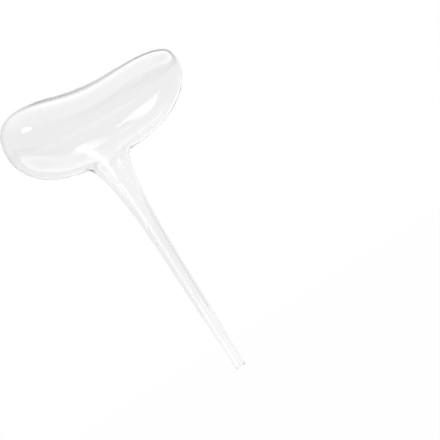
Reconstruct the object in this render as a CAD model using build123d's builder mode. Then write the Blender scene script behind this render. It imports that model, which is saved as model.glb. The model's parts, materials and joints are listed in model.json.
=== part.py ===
from build123d import *
import os
from math import cos, pi, radians, sin, sqrt, tan

# Watering globe of clear blown glass: a hollow, bean-shaped water bulb on a long drawn stem.
# The bulb is filled through the stem, and the stem is then pushed into the soil of a plant pot.
# Origin: middle of the stem's open tip. +Z runs up the stem, and the bulb's long axis lies along X.
# All sizes are in millimetres, and angles in degrees.

# Stem: a straight spike for the soil, then a horn that widens towards the neck
SPIKE_DIAMETER = 7.8
SPIKE_BORE = 5.0
SPIKE_LENGTH = 22.4
HORN_LENGTH = 131.4
HORN_FOOT_RUN = 51.0
HORN_FOOT_LEAN = 1.9
HORN_MOUTH_RUN = 25.6
HORN_MOUTH_LEAN = 18.7
NECK_DIAMETER = 24.0
NECK_WALL = 1.4

# Lip: the cut end of the stem, rounded in the flame
LIP_HEIGHT = 1.6
LIP_ROUNDING = 0.6

# Seal ring: the bead of glass where the stem is melted onto the bulb's spout
SEAL_HEIGHT = 1.8
SEAL_BULGE = 0.1

# Spout: the short collar drawn out of the bulb's belly
SPOUT_HEIGHT = 3.0
SPOUT_LEAN = 24.0
SPOUT_CORNER = 4.2

# Bulb: ellipses strung along an arc, fat at one lobe, drawn in at the middle and slim at the other lobe
BULB_LENGTH = 127.0
BULB_BEND = 41.0
BULB_WALL = 1.3
LOBE_HEIGHT = 58.4
MIDDLE_HEIGHT = 51.4
LOBE_DEPTH = 54.4
MIDDLE_DEPTH = 64.2
BELLY_SAG = 8.8
END_BLUNTNESS = 2.53
LOBE_TAPER = 0.147
BULB_TILT = -6.9
BULB_OFFSET = 8.4
SECTION_COUNT = 20

# Heights and radii that the pieces share
spike_radius = SPIKE_DIAMETER / 2
bore_radius = SPIKE_BORE / 2
neck_radius = NECK_DIAMETER / 2
spike_top = LIP_HEIGHT + SPIKE_LENGTH
seal_bottom = spike_top + HORN_LENGTH
seal_top = seal_bottom + SEAL_HEIGHT
spout_radius = neck_radius + SEAL_HEIGHT * tan(radians(HORN_MOUTH_LEAN))
belly_height = seal_top + SPOUT_HEIGHT
middle_height = belly_height + MIDDLE_HEIGHT / 2 + BELLY_SAG
spout_top = belly_height + MIDDLE_HEIGHT / 4
spine_radius = BULB_LENGTH / 2 / sin(radians(BULB_BEND / 2))


def up_at(lean):
    """Direction in the XZ plane that leans away from +Z by an angle, positive towards -X."""
    return Vector(-sin(radians(lean)), 0, cos(radians(lean)))


def along_at(lean):
    """Direction in the XZ plane that is square to up_at for the same angle."""
    return Vector(cos(radians(lean)), 0, sin(radians(lean)))


spine_centre = Vector(BULB_OFFSET, 0, middle_height) + up_at(BULB_TILT) * spine_radius


def bean_sections(inset):
    """Ellipses from the fat lobe's end to the slim lobe's end, drawn in on every side by an inset."""
    half_bend = BULB_BEND / 2 - inset / spine_radius * 180 / pi
    sections = []
    for number in range(SECTION_COUNT + 1):
        station = -cos(pi * number / SECTION_COUNT)
        lean = BULB_TILT + station * half_bend
        swell = sqrt(max(0, 1 - abs(station) ** END_BLUNTNESS)) * (1 - LOBE_TAPER * station)
        middle_share = cos(pi * station / 2) ** 2
        height = LOBE_HEIGHT + (MIDDLE_HEIGHT - LOBE_HEIGHT) * middle_share
        depth = LOBE_DEPTH + (MIDDLE_DEPTH - LOBE_DEPTH) * middle_share
        centre = spine_centre - up_at(lean) * (spine_radius + BELLY_SAG * swell)
        if number in (0, SECTION_COUNT):
            sections.append(Vertex(*centre))
            continue
        half_axes = (depth / 2 - inset) * swell, (height / 2 - inset) * swell
        with BuildSketch(Plane(centre, x_dir=(0, 1, 0), z_dir=along_at(lean))) as section:
            with BuildLine():
                EllipticalCenterArc((0, 0), *half_axes, start_angle=0, arc_size=180)
                EllipticalCenterArc((0, 0), *half_axes, start_angle=180, arc_size=180)
            make_face()
        sections.append(section.sketch)
    return sections


def horn_line(foot_radius, mouth_radius):
    """One wall of the horn, from the top of the spike up to the neck, as a curve."""
    mouth = Vector(mouth_radius, 0, seal_bottom)
    foot = Vector(foot_radius, 0, spike_top)
    foot_handle = foot + up_at(-HORN_FOOT_LEAN) * HORN_FOOT_RUN
    mouth_handle = mouth - up_at(-HORN_MOUTH_LEAN) * HORN_MOUTH_RUN
    return [(point.X, point.Z) for point in (foot, foot_handle, mouth_handle, mouth)]


def spout_cone(foot_radius, foot_height):
    """Corners of half a solid cone that opens upwards from the spout's foot and ends inside the bulb."""
    top_radius = foot_radius + (spout_top - foot_height) * tan(radians(SPOUT_LEAN))
    return [(0, foot_height), (foot_radius, foot_height), (top_radius, spout_top), (0, spout_top)]


# Hollow of the bulb, cut out of it further on
inner_sections = bean_sections(BULB_WALL)
with BuildPart() as hollow:
    loft(sections=inner_sections)
    with BuildSketch(Plane.XZ):
        with BuildLine():
            Polyline(*spout_cone(spout_radius - NECK_WALL, seal_top), close=True)
        make_face()
    revolve(axis=Axis.Z)
    inner_corner = hollow.edges(Select.NEW)
    fillet(inner_corner, radius=SPOUT_CORNER + NECK_WALL)

# Bulb: the bean and its spout, with a rounded corner where they meet
outer_sections = bean_sections(0)
with BuildPart() as bulb:
    loft(sections=outer_sections)
    with BuildSketch(Plane.XZ):
        with BuildLine():
            Polyline(*spout_cone(spout_radius, seal_top), close=True)
        make_face()
    revolve(axis=Axis.Z)
    outer_corner = bulb.edges(Select.NEW)
    fillet(outer_corner, radius=SPOUT_CORNER)
    add(hollow.part, mode=Mode.SUBTRACT)

# Seal ring: a bead that stands a little proud of the neck, outside and in
with BuildPart() as seal_ring:
    with BuildSketch(Plane.XZ):
        with BuildLine():
            seal_middle = (seal_bottom + seal_top) / 2
            mean_radius = (neck_radius + spout_radius) / 2
            ThreePointArc(
                (neck_radius, seal_bottom),
                (mean_radius + SEAL_BULGE, seal_middle),
                (spout_radius, seal_top),
            )
            Line((spout_radius, seal_top), (spout_radius - NECK_WALL, seal_top))
            ThreePointArc(
                (spout_radius - NECK_WALL, seal_top),
                (mean_radius - NECK_WALL - SEAL_BULGE, seal_middle),
                (neck_radius - NECK_WALL, seal_bottom),
            )
            Line((neck_radius - NECK_WALL, seal_bottom), (neck_radius, seal_bottom))
        make_face()
    revolve(axis=Axis.Z)

# Stem: straight spike and flaring horn, drawn from one tube
with BuildPart() as stem:
    with BuildSketch(Plane.XZ):
        with BuildLine():
            Line((spike_radius, LIP_HEIGHT), (spike_radius, spike_top))
            Bezier(*horn_line(spike_radius, neck_radius))
            Line((neck_radius, seal_bottom), (neck_radius - NECK_WALL, seal_bottom))
            Bezier(*horn_line(bore_radius, neck_radius - NECK_WALL))
            Line((bore_radius, spike_top), (bore_radius, LIP_HEIGHT))
            Line((bore_radius, LIP_HEIGHT), (spike_radius, LIP_HEIGHT))
        make_face()
    revolve(axis=Axis.Z)

# Lip: a short ring whose outer edge the flame has rounded
with BuildPart() as tip_lip:
    with BuildSketch(Plane.XY):
        Circle(spike_radius)
        Circle(bore_radius, mode=Mode.SUBTRACT)
    extrude(amount=LIP_HEIGHT)
    outer_edge = tip_lip.edges().filter_by(GeomType.CIRCLE).group_by(Axis.Z)[0].sort_by(SortBy.RADIUS)[-1]
    fillet(outer_edge, radius=LIP_ROUNDING)

os.makedirs("parts", exist_ok=True)
bulb.part.label = "bulb"
export_step(bulb.part, "parts/bulb.step")
seal_ring.part.label = "seal_ring"
export_step(seal_ring.part, "parts/seal_ring.step")
stem.part.label = "stem"
export_step(stem.part, "parts/stem.step")
tip_lip.part.label = "tip_lip"
export_step(tip_lip.part, "parts/tip_lip.step")
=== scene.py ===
# %% [markdown]
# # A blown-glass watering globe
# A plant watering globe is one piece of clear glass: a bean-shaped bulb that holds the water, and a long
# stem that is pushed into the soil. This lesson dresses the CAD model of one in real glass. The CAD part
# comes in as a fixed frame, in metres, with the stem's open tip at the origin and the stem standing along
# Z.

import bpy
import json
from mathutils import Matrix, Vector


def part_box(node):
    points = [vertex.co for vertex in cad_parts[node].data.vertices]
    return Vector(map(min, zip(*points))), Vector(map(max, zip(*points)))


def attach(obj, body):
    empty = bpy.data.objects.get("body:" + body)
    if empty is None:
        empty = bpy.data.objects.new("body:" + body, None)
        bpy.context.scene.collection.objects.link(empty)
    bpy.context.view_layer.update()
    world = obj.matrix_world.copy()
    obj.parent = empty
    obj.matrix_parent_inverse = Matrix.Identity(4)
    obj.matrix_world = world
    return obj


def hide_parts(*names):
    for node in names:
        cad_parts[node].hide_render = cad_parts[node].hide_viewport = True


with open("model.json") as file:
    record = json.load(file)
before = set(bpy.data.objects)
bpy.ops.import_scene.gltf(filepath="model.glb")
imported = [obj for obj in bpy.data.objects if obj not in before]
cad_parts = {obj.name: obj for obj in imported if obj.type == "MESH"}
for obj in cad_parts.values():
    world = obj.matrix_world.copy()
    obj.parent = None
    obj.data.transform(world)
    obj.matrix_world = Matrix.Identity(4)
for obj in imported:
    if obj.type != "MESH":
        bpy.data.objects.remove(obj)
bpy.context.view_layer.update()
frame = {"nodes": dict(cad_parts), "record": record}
print("CAD nodes:", sorted(frame["nodes"]))

# %% [markdown]
# ## Measures from the frame
# The glass has to sit where the CAD part says, so what the frame knows is read from it and not written
# again: the heights at which one piece meets the next, and the radius and bore of the stem, which are the
# part's two mounts. Blender works in metres and a glassblower in millimetres, so all shapes here are
# drawn in millimetres and scaled once, when they become a mesh.

# %% Read the measures
MM = 0.001
mount_radius = {mount["name"]: mount["dims"]["r_mm"] for mount in frame["record"]["mounts"]}
SPIKE_RADIUS = mount_radius["soil_spike"]
BORE_RADIUS = mount_radius["outlet_bore"]
STEM_WALL = SPIKE_RADIUS - BORE_RADIUS
LIP_HEIGHT, SEAL_BOTTOM, SEAL_TOP = [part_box(node)[1].z / MM for node in ("tip_lip", "stem", "seal_ring")]
print("Stem radius", SPIKE_RADIUS, "mm, wall", round(STEM_WALL, 2), "mm")
print("The lip ends", round(LIP_HEIGHT, 1), "mm up")
print("The bead lies from", round(SEAL_BOTTOM, 1), "to", round(SEAL_TOP, 1), "mm up")

# %% [markdown]
# ## Rings of points
# Glass shows its inside, so a piece needs both skins of its wall: the outer one, and the inner one that
# faces the hollow. A solidify modifier could thicken a single skin, but it gives one even wall, and the
# bulb, the bead and the tip each need their own. So every piece is drawn as rings of points around the
# stem's axis, one stack for the outer skin and one for the inner. The points of a ring crowd together
# towards the bulb's two lobes, which lie furthest from the axis and would otherwise get the coarsest
# faces.

# %% Make a ring
import numpy as np
from math import cos, degrees, pi, radians, sin, tan

RING_POINTS = 192
CROWDING = 0.25
even_turn = np.linspace(0, 2 * pi, RING_POINTS, endpoint=False)
turn = even_turn - CROWDING * np.sin(2 * even_turn)


def ring(radius, height):
    """One ring of points around the stem's axis. Radius and height may differ around the ring."""
    return np.stack([radius * np.cos(turn), radius * np.sin(turn), height + 0 * turn], axis=1)


gaps = np.degrees(np.diff(turn))
print("A ring has", RING_POINTS, "points, at most", round(gaps.max(), 1), "degrees apart")

# %% [markdown]
# ## From rings to a closed wall
# Bands of four-sided faces join ring to ring: along the outer skin, along the inner one, and across the
# ends. The bulb has no upper end, so each of its skins closes on a pole. Where two pieces are melted
# together the real glass has no surface at all, so those end faces get the second material slot, which
# the light goes straight through.

# %% Build a wall
import bpy

SHARP_CORNER = radians(50)


def glass_wall(name, outer, inner, melted_ends, poles=()):
    """A closed wall from outer and inner rings. Its top is a flat rim, or has a pole for each skin."""
    points = np.concatenate([*outer, *inner, *poles])
    rows = np.arange((len(outer) + len(inner)) * RING_POINTS).reshape(-1, RING_POINTS)
    outer_rows, inner_rows = rows[: len(outer)], rows[len(outer) :]
    faces, slots = [], []

    def band(low, high, slot=0):
        """A band of four-sided faces between two rings."""
        faces.extend(zip(low, np.roll(low, -1), np.roll(high, -1), high))
        slots.extend([slot] * RING_POINTS)

    for low, high in zip(outer_rows[:-1], outer_rows[1:]):
        band(low, high)
    for low, high in zip(inner_rows[:-1], inner_rows[1:]):
        band(high, low)
    band(inner_rows[0], outer_rows[0], int("foot" in melted_ends))
    outer_top, inner_top = outer_rows[-1], inner_rows[-1]
    if poles:
        outer_pole, inner_pole = rows.size, rows.size + 1
        faces.extend((here, after, outer_pole) for here, after in zip(outer_top, np.roll(outer_top, -1)))
        faces.extend((after, here, inner_pole) for here, after in zip(inner_top, np.roll(inner_top, -1)))
        slots.extend([0] * 2 * RING_POINTS)
    else:
        band(outer_top, inner_top, int("top" in melted_ends))

    mesh = bpy.data.meshes.new(name)
    mesh.from_pydata((points * MM).tolist(), [], [[int(point) for point in face] for face in faces])
    mesh.polygons.foreach_set("material_index", slots)
    mesh.polygons.foreach_set("use_smooth", [True] * len(faces))
    mesh.set_sharp_from_angle(angle=SHARP_CORNER)
    piece = bpy.data.objects.new(name, mesh)
    bpy.context.scene.collection.objects.link(piece)
    print(name, "has", len(points), "points and", len(faces), "faces")
    return piece


print("Corners sharper than", round(degrees(SHARP_CORNER)), "degrees stay sharp")

# %% [markdown]
# ## The stem
# The stem is a glass tube that was heated and drawn out: a straight spike for the soil, then a horn that
# widens slowly and flares into the neck. A screw modifier on a drawn profile would turn it too. Here the
# profile is the same curve that the CAD part uses, a cubic Bezier between the spike and the neck, so the
# two agree to a hair. The wall keeps its thickness all the way up, because a drawn tube does.

# %% Draw the stem
SPIKE_LENGTH = 22.4
NECK_RADIUS = 12.0
FOOT_RUN, FOOT_LEAN = 51.0, radians(1.9)
MOUTH_RUN, MOUTH_LEAN = 25.6, radians(18.7)
SPIKE_RINGS, HORN_RINGS = 12, 90
SPIKE_TOP = LIP_HEIGHT + SPIKE_LENGTH


def bezier(step, start, start_handle, end_handle, end):
    """A point on a cubic curve. Step 0 is its start and 1 its end."""
    back = 1 - step
    leaving = back**3 * start + 3 * back**2 * step * start_handle
    arriving = 3 * back * step**2 * end_handle + step**3 * end
    return leaving + arriving


def stem_rings(inset):
    """Rings up one skin of the stem, from the lip to the neck."""
    foot = np.array([SPIKE_RADIUS - inset, SPIKE_TOP])
    mouth = np.array([NECK_RADIUS - inset, SEAL_BOTTOM])
    foot_handle = foot + FOOT_RUN * np.array([sin(FOOT_LEAN), cos(FOOT_LEAN)])
    mouth_handle = mouth - MOUTH_RUN * np.array([sin(MOUTH_LEAN), cos(MOUTH_LEAN)])
    spike_heights = np.linspace(LIP_HEIGHT, SPIKE_TOP, SPIKE_RINGS)[:-1]
    spike = [ring(SPIKE_RADIUS - inset, height) for height in spike_heights]
    horn_steps = np.linspace(0, 1, HORN_RINGS)
    horn = [ring(*bezier(step, foot, foot_handle, mouth_handle, mouth)) for step in horn_steps]
    return spike + horn


stem_tube = glass_wall("stem_tube", stem_rings(0), stem_rings(STEM_WALL), ("foot", "top"))

# %% [markdown]
# ## The tip
# The tube's end is cut and then held in the flame, which melts both its edges until the rim is almost a
# full round. That round rim catches light all the way along, and shows as a bright ring. A bevel modifier
# could do it, but a quarter circle of rings for each edge is just as short, and leaves the bore and the
# outside where the CAD has them.

# %% Round the tip
LIP_ROUNDING, BORE_ROUNDING = 0.75, 0.6
EDGE_RINGS = 9


def melted_edge(radius, rounding, side):
    """Rings round an edge of the tip and up to the stem. Side is 1 for the outside, -1 for the bore."""
    rings = []
    for angle in np.linspace(0, pi / 2, EDGE_RINGS):
        rings.append(ring(radius - side * rounding * (1 - sin(angle)), rounding * (1 - cos(angle))))
    return rings + [ring(radius, LIP_HEIGHT)]


outer_edge = melted_edge(SPIKE_RADIUS, LIP_ROUNDING, 1)
bore_edge = melted_edge(BORE_RADIUS, BORE_ROUNDING, -1)
tip_ring = glass_wall("tip_ring", outer_edge, bore_edge, ("top",))

# %% [markdown]
# ## The bead at the neck
# Stem and bulb are made apart and melted together, and the soft glass draws itself into a low bead,
# outside and in. On a well-made globe the flame has smoothed it to a few hundredths of a millimetre,
# which is still enough to bend the light a little across the neck. A torus would stand out like a ring on
# a finger. Here the wall swells by a squared sine over the bead's height, so that it leaves its
# neighbours and returns to them without a crease.

# %% Draw the bead
SEAL_BULGE = 0.04
BEAD_RINGS = 15
SEAL_HEIGHT = SEAL_TOP - SEAL_BOTTOM
SPOUT_RADIUS = NECK_RADIUS + SEAL_HEIGHT * tan(MOUTH_LEAN)


def bead_rings(inset, bulge):
    """Rings up one skin of the bead."""
    rings = []
    for rise in np.linspace(0, 1, BEAD_RINGS):
        cone_radius = NECK_RADIUS + (SPOUT_RADIUS - NECK_RADIUS) * rise - inset
        rings.append(ring(cone_radius + bulge * sin(pi * rise) ** 2, SEAL_BOTTOM + SEAL_HEIGHT * rise))
    return rings


bead_outside = bead_rings(0, SEAL_BULGE)
bead_inside = bead_rings(STEM_WALL, -SEAL_BULGE)
seal_bead = glass_wall("seal_bead", bead_outside, bead_inside, ("foot", "top"))

# %% [markdown]
# ## The bulb
# The bulb was blown: a bubble with a fat lobe, a waist and a slim lobe, bent like a bean, and wider than
# it is tall in the middle. Sculpting or a cage under a subdivision surface would make a bean, but not
# this one to the millimetre. So the bean is a rule: ellipses strung on an arc, as in the CAD part. The
# rule says how far out any point of space lies, 1 being on the glass. To mesh it, lines start inside the
# glass and end outside it, and each is halved again and again until the halves close on the skin.

# %% Write the bean's rule
BULB_LENGTH, BULB_BEND, BULB_TILT, BULB_OFFSET = 127.0, 41.0, -6.9, 8.4
LOBE_HEIGHT, MIDDLE_HEIGHT = 58.4, 51.4
LOBE_DEPTH, MIDDLE_DEPTH = 54.4, 64.2
BELLY_SAG, END_BLUNTNESS, LOBE_TAPER = 8.8, 2.53, 0.147
SPOUT_HEIGHT = 3.0
HALVINGS = 40
TINY = 1e-9
BULB_MIDDLE = SEAL_TOP + SPOUT_HEIGHT + MIDDLE_HEIGHT / 2 + BELLY_SAG
spine_radius = BULB_LENGTH / 2 / sin(radians(BULB_BEND / 2))
spine_x = BULB_OFFSET - spine_radius * sin(radians(BULB_TILT))
spine_z = BULB_MIDDLE + spine_radius * cos(radians(BULB_TILT))


def bean_reach(points, inset):
    """How far out points lie: under 1 is inside the skin, 1 is on it. The inset makes the inner skin."""
    across, along, up = points[..., 1], points[..., 0] - spine_x, points[..., 2] - spine_z
    lean = np.degrees(np.arctan2(along, -up))
    station = np.clip((lean - BULB_TILT) / (BULB_BEND / 2 - degrees(inset / spine_radius)), -1, 1)
    swell = np.sqrt(1 - np.abs(station) ** END_BLUNTNESS) * (1 - LOBE_TAPER * station) + TINY
    middle_share = np.cos(pi * station / 2) ** 2
    half_height = (LOBE_HEIGHT + (MIDDLE_HEIGHT - LOBE_HEIGHT) * middle_share) / 2 - inset
    half_depth = (LOBE_DEPTH + (MIDDLE_DEPTH - LOBE_DEPTH) * middle_share) / 2 - inset
    above = spine_radius + BELLY_SAG * swell - np.hypot(along, up)
    return np.hypot(across / half_depth, above / half_height) / swell


def glass_between(inside, outside, inset):
    """The points on the skin along lines that start inside it and end outside it."""
    low, high = np.zeros(len(inside)), np.ones(len(inside))
    for halving in range(HALVINGS):
        middle = (low + high) / 2
        is_in = bean_reach(inside + middle[:, None] * (outside - inside), inset) < 1
        low, high = np.where(is_in, middle, low), np.where(is_in, high, middle)
    return inside + low[:, None] * (outside - inside)


print("Bulb's middle:", round(BULB_MIDDLE, 1), "mm up. Radius of its bend:", round(spine_radius), "mm")

# %% [markdown]
# ## Spout and shell
# Under the belly the glassblower pulls a short spout out of the soft bubble. Nothing there is a corner:
# the spout flares into the belly, quickly at the sides, where the belly is almost level, and slowly at
# the front and back, where it curves up and away. A boolean with a bevel would leave a band of uneven
# faces, and glass shows every one of them. So each skin starts at the bead, follows a cubic curve that
# leaves in line with the stem and comes in along the belly, and then spreads over the bean to a pole at
# the top.

# %% Skin the bulb
BULB_WALL = 1.3
SIDE_FLARE, FRONT_FLARE = 6.0, 11.0
HANDLE_SHARE = 0.45
FLARE_RINGS, BULB_RINGS = 26, 130
RAY_LENGTH = 120.0
HEART_DROP, BELLY_DROP = 9.0, 5.0
NUDGE = 0.1
heart = np.array([0.0, 0.0, BULB_MIDDLE - HEART_DROP])
flare = SIDE_FLARE + (FRONT_FLARE - SIDE_FLARE) * np.sin(turn) ** 2


def belly(radius, inset):
    """A ring of points on the underside of the bean, at a distance from the stem's axis."""
    return glass_between(ring(radius, BULB_MIDDLE - BELLY_DROP), ring(radius, SEAL_BOTTOM), inset)


def bulb_rings(inset, foot_radius):
    """Rings over one skin of the bulb, from the bead to the pole, and the pole."""
    foot, rim = ring(foot_radius, SEAL_TOP), belly(foot_radius + flare, inset)
    span = np.linalg.norm(rim - foot, axis=1)[:, None]
    outward = rim - belly(foot_radius + flare - NUDGE, inset)
    outward /= np.linalg.norm(outward, axis=1)[:, None]
    foot_handle = foot + HANDLE_SHARE * span * ring(sin(MOUTH_LEAN), cos(MOUTH_LEAN))
    rim_handle = rim - HANDLE_SHARE * span * outward
    rings = [bezier(step, foot, foot_handle, rim_handle, rim) for step in np.linspace(0, 1, FLARE_RINGS)]
    first = np.arctan2(foot_radius + flare, heart[2] - rim[:, 2])
    for step in np.linspace(0, 1, BULB_RINGS + 1)[1:-1]:
        swing = first + (pi - first) * step
        ray = ring(np.sin(swing), -np.cos(swing)) * RAY_LENGTH
        rings.append(glass_between(np.tile(heart, (RING_POINTS, 1)), heart + ray, inset))
    pole = glass_between(heart[None], heart[None] + [[0, 0, RAY_LENGTH]], inset)
    return rings, pole


outer_rings, outer_pole = bulb_rings(0, SPOUT_RADIUS)
inner_rings, inner_pole = bulb_rings(BULB_WALL, SPOUT_RADIUS - STEM_WALL)
bulb_shell = glass_wall("bulb_shell", outer_rings, inner_rings, ("foot",), (outer_pole, inner_pole))

# %% [markdown]
# ## Riding on the frame
# Each glass piece takes the place of the CAD node it was drawn from, which stays behind hidden, and moves
# with the part's one body.

# %% Put the pieces on the frame
for piece, node, slot in (
    (bulb_shell, "bulb", "bulb_glass"),
    (seal_bead, "seal_ring", "stem_glass"),
    (stem_tube, "stem", "stem_glass"),
    (tip_ring, "tip_lip", "stem_glass"),
):
    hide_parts(node)
    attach(piece, "root")
    print(piece.name, "stands for", node)

# %% [markdown]
# ## Helpers for materials
# Colours are written as on a paint chart, in sRGB hex, but shaders count in linear light, so one function
# converts them. Another adds a node to a tree with its settings and its links, which keeps each material
# down to one line for each step of its recipe.

# %% Colour and node helpers


def linear(hex_colour):
    """Linear light from an sRGB hex colour, with full alpha."""
    parts = [int(hex_colour[place : place + 2], 16) / 255 for place in (1, 3, 5)]
    # The sRGB curve is a short straight foot and then a power
    light = [part / 12.92 if part <= 0.04045 else ((part + 0.055) / 1.055) ** 2.4 for part in parts]
    return light + [1.0]


def add_node(tree, kind, settings=None, links=None):
    """Adds a node, sets its sockets or properties by name, and links sockets to other nodes' outputs."""
    node = tree.nodes.new(kind)
    for name, value in (settings or {}).items():
        if isinstance(name, int) or name in node.inputs:
            node.inputs[name].default_value = value
        else:
            setattr(node, name, value)
    for name, (source, output) in (links or {}).items():
        tree.links.new(source.outputs[output], node.inputs[name])
    return node


def empty_tree(owner):
    """The owner's node tree, cleared."""
    owner.use_nodes = True
    owner.node_tree.nodes.clear()
    return owner.node_tree


WHITE = linear("#FFFFFF")
print("Middle grey #808080 is", round(linear("#808080")[0], 3), "in linear light")

# %% [markdown]
# ## Borosilicate glass, blown in the flame
# Lamp-blown glassware is borosilicate: water clear, very smooth, with an index of refraction near 1.47.
# Two things keep it from looking like a computer's bubble. Blowing leaves slow swells in the skin, a few
# centimetres long, which make highlights wander, and a faint bump carries them, its noise scaled from the
# real length of a swell. And towards its outline the eye looks along the wall, through far more glass, so
# the outline is greyer than the face. A volume shader could absorb that light, but walls this thin would
# need many samples. Layer Weight's Facing gives the same grey for nothing.

# %% Make the bulb's glass
GLASS_IOR = 1.474
EDGE_START = 0.5
SWELL_DETAIL, SWELL_ROUGHNESS = 2.0, 0.4


def glass_material(name, face_colour, edge_colour, swell_length, stretch, swell_depth):
    """Clear glass, greyer at its outline, with swells of a length and a depth, stretched along Z."""
    material = bpy.data.materials.new(name)
    tree = empty_tree(material)
    place = add_node(tree, "ShaderNodeTexCoord")
    squeeze = {"Scale": (1, 1, 1 / stretch)}
    drawn = add_node(tree, "ShaderNodeMapping", squeeze, {"Vector": (place, "Object")})
    noise = {"Scale": 1 / swell_length, "Detail": SWELL_DETAIL, "Roughness": SWELL_ROUGHNESS}
    swells = add_node(tree, "ShaderNodeTexNoise", noise, {"Vector": (drawn, "Vector")})
    skin = add_node(tree, "ShaderNodeBump", {"Distance": swell_depth}, {"Height": (swells, "Fac")})
    slant = add_node(tree, "ShaderNodeLayerWeight")
    edge = add_node(tree, "ShaderNodeMapRange", {"From Min": EDGE_START}, {"Value": (slant, "Facing")})
    greys = {"Color1": linear(face_colour), "Color2": linear(edge_colour)}
    tint = add_node(tree, "ShaderNodeMixRGB", greys, {"Fac": (edge, "Result")})
    clear = {"Roughness": 0.0, "IOR": GLASS_IOR, "Transmission Weight": 1.0}
    feeds = {"Base Color": (tint, "Color"), "Normal": (skin, "Normal")}
    glass = add_node(tree, "ShaderNodeBsdfPrincipled", clear, feeds)
    add_node(tree, "ShaderNodeOutputMaterial", links={"Surface": (glass, "BSDF")})
    width, depth = round(swell_length / MM, 1), round(swell_depth / MM, 3)
    print(name, "has swells", width, "mm wide and", depth, "mm deep")
    return material


# Blown skin: bright and smooth. Its swells are as long as wide, and bend a highlight a little on its way
SWELL_LENGTH, SWELL_DEPTH = 26 * MM, 0.2 * MM
SWELL_STRETCH = 1
swells = SWELL_LENGTH, SWELL_STRETCH, SWELL_DEPTH
blown_glass = glass_material("borosilicate_glass_blown", "#F8F8F8", "#ECECEC", *swells)

# %% [markdown]
# ## Borosilicate glass, drawn to a tube
# The stem is the same glass, but it was pulled and not blown. Pulling stretches every unevenness into
# long draw lines that run with the tube, so the noise is narrow across and stretched along Z. The tube is
# also clearer than the bulb at its outline, because a narrow round wall is looked along for only a short
# way.

# %% Make the stem's glass
# Drawn skin: straight lines that fray the edges of a long highlight. Real draw lines are a fraction of a
# millimetre wide, too fine to show here, so they are drawn a few times coarser.
LINE_WIDTH, LINE_DEPTH = 2.4 * MM, 0.002 * MM
LINE_STRETCH = 25
lines = LINE_WIDTH, LINE_STRETCH, LINE_DEPTH
drawn_glass = glass_material("borosilicate_glass_drawn", "#FBFBFB", "#F2F2F2", *lines)

# %% [markdown]
# ## Where glass is melted to glass
# At the bead and the lip one piece runs into the next with nothing between them. The faces there only
# close the meshes. Deleting them would leave open walls, and glass faces would bend the light twice where
# it should go straight on, so these faces have an alpha of 0.

# %% Make the melted joint and hand out the glass
melted_joint = bpy.data.materials.new("borosilicate_glass_melted_joint")
tree = empty_tree(melted_joint)
joint = add_node(tree, "ShaderNodeBsdfPrincipled", {"Base Color": linear("#F8F8F8"), "Alpha": 0.0})
add_node(tree, "ShaderNodeOutputMaterial", links={"Surface": (joint, "BSDF")})
for piece, material in (
    (bulb_shell, blown_glass),
    (seal_bead, drawn_glass),
    (stem_tube, drawn_glass),
    (tip_ring, drawn_glass),
):
    piece.data.materials.append(material)
    piece.data.materials.append(melted_joint)
    print(piece.name, "is made of", material.name)

# %% [markdown]
# ## The camera
# The globe is seen from its front, turned a few degrees towards the slim lobe, from about a metre away
# with a long lens. The picture is rolled, so that the stem runs down to the right. The camera's place
# could be found by hand, but it also follows from three things that can be measured in a picture of 440
# by 440 pixels: where the middle of the bulb falls, how many pixels a millimetre takes there, and how
# much the object shrinks with distance.

# %% Set the camera
from mathutils import Matrix, Vector

PICTURE = 440
BULB_PIXEL = (82.78, 116.61)
PIXELS_PER_MM = 1.517
FOCAL_PIXELS = 1595.8
AZIMUTH, ELEVATION, ROLL = radians(4.82), radians(-1.27), radians(32.38)
SENSOR = 36.0

level_right = Vector((cos(AZIMUTH), sin(AZIMUTH), 0))
level_back = Vector((sin(AZIMUTH), -cos(AZIMUTH), 0))
upward = Vector((0, 0, 1))
raised = cos(ELEVATION) * upward - sin(ELEVATION) * level_back
back = sin(ELEVATION) * upward + cos(ELEVATION) * level_back
right = cos(ROLL) * level_right - sin(ROLL) * raised
up = sin(ROLL) * level_right + cos(ROLL) * raised
distance = FOCAL_PIXELS / PIXELS_PER_MM
aside = (BULB_PIXEL[0] - PICTURE / 2) / PIXELS_PER_MM
above = (PICTURE / 2 - BULB_PIXEL[1]) / PIXELS_PER_MM
bulb_point = Vector((0, 0, BULB_MIDDLE))
eye = bulb_point - aside * right - above * up + distance * back

camera_data = bpy.data.cameras.new("photo_camera")
camera_data.sensor_width = SENSOR
camera_data.lens = SENSOR * FOCAL_PIXELS / PICTURE
camera = bpy.data.objects.new("photo_camera", camera_data)
camera.matrix_world = Matrix.Translation(eye * MM) @ Matrix((right, up, back)).transposed().to_4x4()
bpy.context.scene.collection.objects.link(camera)
bpy.context.scene.camera = camera
print("Camera", round(distance), "mm away, lens", round(camera_data.lens, 1), "mm")

# %% [markdown]
# ## Floor and background
# Clear glass is photographed on white, so that its edges are what draws it. The floor is a sheet of pale
# paper well below the globe. To the camera, and to rays that the glass mirrors or lets through, it glows
# a plain white, so no extra light is needed to make it white. The rest of it stays matt and takes the
# globe's soft shadow.

# %% Lay the floor
FLOOR_SIZE, FLOOR_DROP = 12.0, 0.25
FLOOR_SHADOW = 0.2
half = FLOOR_SIZE / 2
floor_corners = [(-half, -half, 0), (half, -half, 0), (half, half, 0), (-half, half, 0)]
floor_mesh = bpy.data.meshes.new("floor")
floor_mesh.from_pydata(floor_corners, [], [(0, 1, 2, 3)])
floor = bpy.data.objects.new("floor", floor_mesh)
floor.location.z = -FLOOR_DROP
bpy.context.scene.collection.objects.link(floor)

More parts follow.
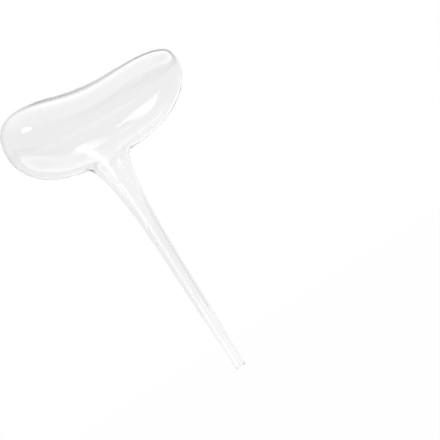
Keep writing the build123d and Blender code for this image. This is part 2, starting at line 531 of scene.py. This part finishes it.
floor_paper = bpy.data.materials.new("white_paper")
tree = empty_tree(floor_paper)
path = add_node(tree, "ShaderNodeLightPath")
larger = {"operation": "MAXIMUM"}
mirrored, let_through = (path, "Is Glossy Ray"), (path, "Is Transmission Ray")
bent = add_node(tree, "ShaderNodeMath", larger, {0: mirrored, 1: let_through})
shown = add_node(tree, "ShaderNodeMath", larger, {0: (path, "Is Camera Ray"), 1: (bent, 0)})
less_shadow = {"operation": "MULTIPLY", 1: 1 - FLOOR_SHADOW}
share = add_node(tree, "ShaderNodeMath", less_shadow, {0: (shown, 0)})
matt = add_node(tree, "ShaderNodeBsdfDiffuse", {"Color": linear("#FAFAFA")})
glow = add_node(tree, "ShaderNodeEmission", {"Color": WHITE, "Strength": 1.0})
sides = {"Fac": (share, 0), 1: (matt, "BSDF"), 2: (glow, "Emission")}
paper = add_node(tree, "ShaderNodeMixShader", links=sides)
add_node(tree, "ShaderNodeOutputMaterial", links={"Surface": (paper, "Shader")})
floor_mesh.materials.append(floor_paper)
print("The floor lies", round(FLOOR_DROP / MM), "mm under the stem's tip")

# %% [markdown]
# ## A room for the glass to mirror
# Glass has almost no colour of its own. What the eye reads as its shape is the room around it, mirrored,
# so a globe in an all-white room would vanish. A studio hangs grey cloth and white cards around the set,
# out of the picture. Real cards would show through the glass from some other side, so here they are
# painted on the world. First comes a frieze, a grey band part of the way up with a bright one above it.
# It draws the dark line along the bulb's back and the white band under that line. It grows fainter to
# the left and stronger to the right, and droops there, so that the line follows the slim lobe round its
# end.

# %% Paint the frieze
# Degrees up, and grey
FRIEZE = [
    (13, 1.0), (20, 0.8), (28, 0.7), (34, 0.46), (44, 0.46), (52, 1.0), (57, 1.7), (66, 1.5), (85, 1.0)
]
# Place from left, -1, to right, 1, and how strongly the frieze shows there
FRIEZE_STRENGTH = [(-0.5, 0.3), (-0.15, 0.33), (0.02, 1.0), (0.4, 1.0), (0.55, 1.7)]
DROOP, DROOP_START, DROOP_END = 0.6, 0.4, 1.0


def set_greys(ramp, stops):
    """Gives a colour ramp its stops, each a position and a grey."""
    elements = ramp.color_ramp.elements
    for number, (position, grey) in enumerate(stops):
        element = elements[number] if number < len(elements) else elements.new(1.0)
        element.position = position
        element.color = (grey, grey, grey, 1)


world = bpy.data.worlds.new("white_studio")
bpy.context.scene.world = world
tree = empty_tree(world)
place = add_node(tree, "ShaderNodeTexCoord")
toward = add_node(tree, "ShaderNodeSeparateXYZ", links={"Vector": (place, "Generated")})
sinking = {"From Min": DROOP_START, "From Max": DROOP_END, "To Max": DROOP}
droop = add_node(tree, "ShaderNodeMapRange", sinking, {"Value": (toward, "X")})
bowed = add_node(tree, "ShaderNodeMath", {"operation": "ADD"}, {0: (droop, "Result"), 1: (toward, "Z")})
frieze = add_node(tree, "ShaderNodeValToRGB", links={"Fac": (bowed, 0)})
set_greys(frieze, [(sin(radians(elevation)), grey) for elevation, grey in FRIEZE])
sideways = add_node(tree, "ShaderNodeMapRange", {"From Min": -1.0}, {"Value": (toward, "X")})
strength = add_node(tree, "ShaderNodeValToRGB", links={"Fac": (sideways, "Result")})
set_greys(strength, [((across + 1) / 2, share) for across, share in FRIEZE_STRENGTH])
print("The frieze runs from", FRIEZE[0][0], "to", FRIEZE[-1][0], "degrees up")

# %% [markdown]
# ## The walls
# The wall on the camera's side is dimmer than white, which leaves the face of the bulb a soft grey. The
# wall on the left is a little dimmer too, and draws the fat lobe's end. A panorama of a real studio would
# do as well, but two slopes, one along Y and one along X, say the same in a few nodes. Only rays that the
# glass has mirrored see this room. The camera, matt surfaces and rays that go straight through the glass
# all get a plain white world, so the background is white from every side.

# %% Paint the walls
FRONT_SHADE = 0.6
FRONT_START, FRONT_END = -0.6, 0.2
LEFT_SHADE = 0.85
LEFT_START, LEFT_END = -0.8, -0.2
ONE_AT_MOST = {"operation": "MINIMUM", 1: 1.0}
contrast = add_node(tree, "ShaderNodeMath", {"operation": "SUBTRACT", 1: 1.0}, {0: (frieze, "Color")})
scaled = {0: (contrast, 0), 1: (strength, "Color")}
wall = add_node(tree, "ShaderNodeMath", {"operation": "MULTIPLY_ADD", 2: 1.0}, scaled)
front_slope = {"From Min": FRONT_START, "From Max": FRONT_END, "To Min": FRONT_SHADE}
front = add_node(tree, "ShaderNodeMapRange", front_slope, {"Value": (toward, "Y")})
left_slope = {"From Min": LEFT_START, "From Max": LEFT_END, "To Min": LEFT_SHADE}
left = add_node(tree, "ShaderNodeMapRange", left_slope, {"Value": (toward, "X")})
both = {0: (front, "Result"), 1: (left, "Result")}
dimmed = add_node(tree, "ShaderNodeMath", {"operation": "MULTIPLY"}, both)
painted = add_node(tree, "ShaderNodeBackground", links={"Color": (wall, 0), "Strength": (dimmed, 0)})
plain = add_node(tree, "ShaderNodeBackground", {"Color": WHITE, "Strength": 1.0})
path = add_node(tree, "ShaderNodeLightPath")
mirrored = add_node(tree, "ShaderNodeMath", ONE_AT_MOST, {0: (path, "Glossy Depth")})
sides = {"Fac": (mirrored, 0), 1: (plain, "Background"), 2: (painted, "Background")}
room = add_node(tree, "ShaderNodeMixShader", links=sides)
add_node(tree, "ShaderNodeOutputWorld", links={"Surface": (room, "Shader")})
print("The wall behind the camera is", FRONT_SHADE, "of white, the left one", LEFT_SHADE)

# %% [markdown]
# ## The key softbox
# One softbox stands up on the left, in front of the globe. It lays the soft shadow on the floor and puts
# a small oval highlight on the fat lobe, where the skin faces it. A softbox is an area lamp, and its
# power follows from how bright its face should look, 1 being white, and from its size.

# %% Set up the key softbox
LIGHT_DISTANCE = 1300 * MM
KEY_AZIMUTH, KEY_ELEVATION = -53, 47
KEY_WIDTH, KEY_HEIGHT = 240 * MM, 280 * MM
KEY_BRIGHTNESS = 5.0


def direction(azimuth, elevation):
    """The way towards a light, in degrees. Azimuth 0 is the front and 90 the right."""
    around, rise = radians(azimuth), radians(elevation)
    return Vector((sin(around) * cos(rise), -cos(around) * cos(rise), sin(rise)))


key_data = bpy.data.lights.new("key_softbox", "AREA")
key_data.shape = "ELLIPSE"
key_data.size, key_data.size_y = KEY_WIDTH, KEY_HEIGHT
# A lamp's power is its brightness times pi times the area of its face
key_data.energy = KEY_BRIGHTNESS * pi * (pi / 4 * KEY_WIDTH * KEY_HEIGHT)
key_box = bpy.data.objects.new("key_softbox", key_data)
key_way = direction(KEY_AZIMUTH, KEY_ELEVATION)
key_box.location = bulb_point * MM + key_way * LIGHT_DISTANCE
key_box.rotation_euler = key_way.to_track_quat("Z", "Y").to_euler()
# Only the outer skin shows the softbox, so that its highlight is single
key_box.visible_transmission = False
bpy.context.scene.collection.objects.link(key_box)
print("The key softbox shines with", round(key_data.energy, 2), "W")

# %% [markdown]
# ## Ribbons of light
# The other highlights on the globe are long and soft, and one of them bends. An area lamp is flat and has
# a hard edge, so these lights are strips of mesh that glow. Three points lie across each strip, and a
# point attribute fades the glow from its middle to nothing at its edges, where the strip turns
# transparent. The strips shine only for rays that the glass has mirrored, so they add no light to the
# room and never show themselves. A strip can also wait until such a ray has passed some number of glass
# skins, and then shows in the far wall alone.

# %% Make a ribbon of light
ACROSS = 3


def glow_ribbon(name, brightness, stations, skins=0):
    """A soft-edged ribbon of light. Stations have a middle and the way to an edge, in mm, and a glow."""
    corners, glows = [], []
    for middle, to_edge, glow in stations:
        corners += [(middle + share * to_edge) * MM for share in (-1, 0, 1)]
        glows += [0.0, glow, 0.0]
    starts = [corner for corner in range(len(corners) - ACROSS) if corner % ACROSS < ACROSS - 1]
    faces = [(corner, corner + 1, corner + ACROSS + 1, corner + ACROSS) for corner in starts]
    mesh = bpy.data.meshes.new(name)
    mesh.from_pydata(corners, [], faces)
    mesh.attributes.new("glow", "FLOAT", "POINT").data.foreach_set("value", glows)

    material = bpy.data.materials.new(name)
    tree = empty_tree(material)
    glow = add_node(tree, "ShaderNodeAttribute", {"attribute_name": "glow"})
    path = add_node(tree, "ShaderNodeLightPath")
    # Skins are counted in whole numbers, so half a skin less lets the number itself pass
    enough = {"operation": "GREATER_THAN", 1: skins - 0.5}
    passed = add_node(tree, "ShaderNodeMath", enough, {0: (path, "Transmission Depth")})
    mirrored = add_node(tree, "ShaderNodeMath", ONE_AT_MOST, {0: (path, "Glossy Depth")})
    times = {"operation": "MULTIPLY"}
    seen = add_node(tree, "ShaderNodeMath", times, {0: (mirrored, 0), 1: (passed, 0)})
    share = add_node(tree, "ShaderNodeMath", times, {0: (glow, "Fac"), 1: (seen, 0)})
    air = add_node(tree, "ShaderNodeBsdfTransparent")
    light = add_node(tree, "ShaderNodeEmission", {"Color": WHITE, "Strength": brightness})
    sides = {"Fac": (share, 0), 1: (air, "BSDF"), 2: (light, "Emission")}
    soft = add_node(tree, "ShaderNodeMixShader", links=sides)
    add_node(tree, "ShaderNodeOutputMaterial", links={"Surface": (soft, "Shader")})
    mesh.materials.append(material)

    ribbon = bpy.data.objects.new(name, mesh)
    bpy.context.scene.collection.objects.link(ribbon)
    ribbon.visible_camera = False
    ribbon.visible_diffuse = False
    ribbon.visible_shadow = False
    print(name, "runs over", len(stations), "stations")
    return ribbon


def level_stations(rows):
    """Stations from rows of x, y, z and half width, in mm, and glow. Their edges lie level, along X."""
    return [(Vector((x, y, z)), Vector((half, 0, 0)), glow) for x, y, z, half, glow in rows]


print("A ribbon's glow fades to nothing at its edges")

# %% [markdown]
# ## Strip lights for the stem
# A tall strip stands in front of the stem, on its left, and draws the white streak down it. At its top
# the strip folds back and runs on under the belly, so the streak goes on without a break and ends there
# in a drop. A dim second strip on the right draws a fainter line along the lower stem.

# %% Stand the strips beside the stem
STRIP_BRIGHTNESS = 6.0
# Place and half width in mm, and glow
STRIP = [
    (-42, -47, -40, 45, 0.8),
    (-42, -47, 17, 45, 0.8),
    (-38, -52, 57, 42, 0.7),
    (-33, -56, 88, 40, 0.7),
    (-28, -60, 107, 36, 0.7),
    (-23, -63, 128, 20, 0.7),
    (-30, -52, 125, 11, 1.0),
    (-25, -37, 114.5, 7, 1.0),
    (-20.5, -16, 109.5, 8, 1.0),
    (-20, 0, 109, 8, 1.0),
]
FILL = [(37, -47, -40, 25, 0.4), (37, -47, 45, 25, 0.4), (37, -47, 85, 25, 0.0)]
for name, rows in (("stem_strip", STRIP), ("fill_strip", FILL)):
    strip = glow_ribbon(name, STRIP_BRIGHTNESS, level_stations(rows))
    # Only the outer skin shows the strips, so that each streak is single
    strip.visible_transmission = False

# %% [markdown]
# ## A window in the far wall
# The broad, soft highlight on the slim lobe lies inside the globe. It is a window, mirrored by the far
# wall: its light passes the two skins of the near wall, turns round at the far one and passes two skins
# again on its way out. So this ribbon waits for four skins, and the near wall doesn't mirror it a second
# time. The neck would mirror it too, as a hard little spot, so a small card in the grey of the room,
# which photographers call a flag, stands in the way.

# %% Hang the window and its flag
WINDOW_BRIGHTNESS = 6.0
WINDOW_SKINS = 4
# Azimuth, elevation and half height in degrees, and glow
WINDOW = [
    (-16, 43, 4, 0.0),
    (-20, 41, 5, 0.7),
    (-27, 35, 7, 0.8),
    (-35, 33, 14, 1.0),
    (-45, 35, 20, 1.0),
    (-54, 38, 22, 0.9),
    (-64, 40, 18, 0.0),
]
# Place in mm. A glow over 1 keeps the flag solid to halfway out, and only then lets it fade
FLAG = [(-63, -74, 178), (-61, -69, 190), (-57, -57, 210), (-54, -48, 226)]
FLAG_AZIMUTH, FLAG_HALF, FLAG_COVER = 48, 25, 2.0
SQUARE = 90
reach = LIGHT_DISTANCE / MM
window_stations = []
for azimuth, elevation, half, glow in WINDOW:
    middle = bulb_point + reach * direction(azimuth, elevation)
    to_edge = reach * tan(radians(half)) * direction(azimuth, elevation + SQUARE)
    window_stations.append((middle, to_edge, glow))
flag_stations = [(Vector(place), FLAG_HALF * direction(FLAG_AZIMUTH, 0), FLAG_COVER) for place in FLAG]
window = glow_ribbon("window", WINDOW_BRIGHTNESS, window_stations, WINDOW_SKINS)
flag = glow_ribbon("flag", FRONT_SHADE, flag_stations, WINDOW_SKINS)
window.visible_glossy = False
flag.visible_glossy = False

# %% [markdown]
# ## A card under the belly
# The underside of the bulb mirrors the floor behind the globe, and there its lower edge would show as a
# grey line. Photographers lay a bounce card behind the set, a shade brighter than the paper, and the edge
# turns pale. An area lamp would do it too, but would also light the floor. So the card is one more
# ribbon, wide and flat, just above the paper.

# %% Lay the bounce card
CARD_BRIGHTNESS = 1.2
CARD_MIDDLE, CARD_HALF = 300, 1500
CARD_RISE = 10
CARD_HEIGHT = CARD_RISE - FLOOR_DROP / MM
# Distance behind the stem in mm, and glow
CARD = [(0, 0.0), (200, 1.0), (1500, 1.0), (2300, 0.0)]
card_rows = [(CARD_MIDDLE, behind, CARD_HEIGHT, CARD_HALF, glow) for behind, glow in CARD]
glow_ribbon("bounce_card", CARD_BRIGHTNESS, level_stations(card_rows))

# %% [markdown]
# ## Finish
# The picture is shown as it is, with no filmic curve, so that white paper stays white.

# %% Finish
import json

bpy.context.scene.view_settings.view_transform = "Standard"
